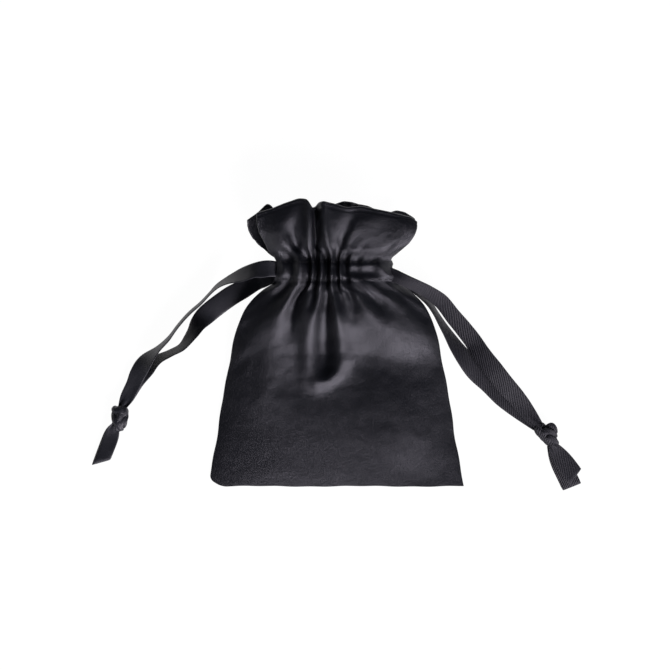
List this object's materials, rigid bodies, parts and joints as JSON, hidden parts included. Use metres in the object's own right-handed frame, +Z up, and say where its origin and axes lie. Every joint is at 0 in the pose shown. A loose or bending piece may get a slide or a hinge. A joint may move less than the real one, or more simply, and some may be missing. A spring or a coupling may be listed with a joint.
{
  "type": "drawstring gift pouch",
  "caption": "Small flat satin gift pouch with a gathered casing, a frill at the mouth and two knotted ribbon drawstrings, lying on its back.",
  "frame": {"origin": "on the table, under the middle of the pouch without its free cords", "axes": "+X to the pouch's right as seen from above, +Y from the bottom seam to the mouth, +Z up from the table through the pouch's thickness"},
  "size_m": [0.1533, 0.0901, 0.0144],
  "materials": {
    "satin": "black satin weave, soft sheen",
    "seam_allowance": "matte wrong side of black satin",
    "ribbon": "single-faced black satin ribbon",
    "thread": "black polyester sewing thread"
  },
  "bodies": {
    "pouch": {"front_panel": "satin", "back_panel": "satin", "left_side_seam": "seam_allowance", "right_side_seam": "seam_allowance", "bottom_seam": "seam_allowance", "front_casing": "satin", "back_casing": "satin", "back_frill": "satin", "front_upper_stitching": "thread", "front_lower_stitching": "thread", "back_upper_stitching": "thread", "back_lower_stitching": "thread", "bottom_stitching": "thread", "left_side_stitching": "thread", "right_side_stitching": "thread"},
    "front_frill": {"front_frill": "satin"},
    "left_cord": {"left_cord_loop": "ribbon"},
    "left_free_end": {"left_upper_strand": "ribbon", "left_lower_strand": "ribbon", "left_knot": "ribbon", "left_upper_tail": "ribbon", "left_lower_tail": "ribbon"},
    "right_cord": {"right_cord_loop": "ribbon"},
    "right_free_end": {"right_upper_strand": "ribbon", "right_lower_strand": "ribbon", "right_knot": "ribbon", "right_upper_tail": "ribbon", "right_lower_tail": "ribbon"}
  },
  "joints": [
    {"name": "left_pull", "type": "slide", "parent": "pouch", "child": "left_cord", "axis": [-1, 0, 0], "range_m": [0, 0.006], "deforming": ["front_casing", "back_casing", "front_frill", "back_frill", "front_upper_stitching", "front_lower_stitching", "back_upper_stitching", "back_lower_stitching"]},
    {"name": "right_pull", "type": "slide", "parent": "pouch", "child": "right_cord", "axis": [1, 0, 0], "range_m": [0, 0.006]},
    {"name": "left_swing", "type": "hinge", "parent": "left_cord", "child": "left_free_end", "pos_m": [-0.0215, 0.02475, 0.0059], "axis": [0, 0, 1], "range_deg": [-40, 0]},
    {"name": "right_swing", "type": "hinge", "parent": "right_cord", "child": "right_free_end", "pos_m": [0.0215, 0.02125, 0.0059], "axis": [0, 0, 1], "range_deg": [0, 40]},
    {"name": "frill_lift", "type": "hinge", "parent": "pouch", "child": "front_frill", "pos_m": [0, 0.0275, 0.01], "axis": [1, 0, 0], "range_deg": [0, 50]}
  ],
  "couplings": [
    {"joint": "right_pull", "follows": "left_pull", "ratio": 1}
  ]
}
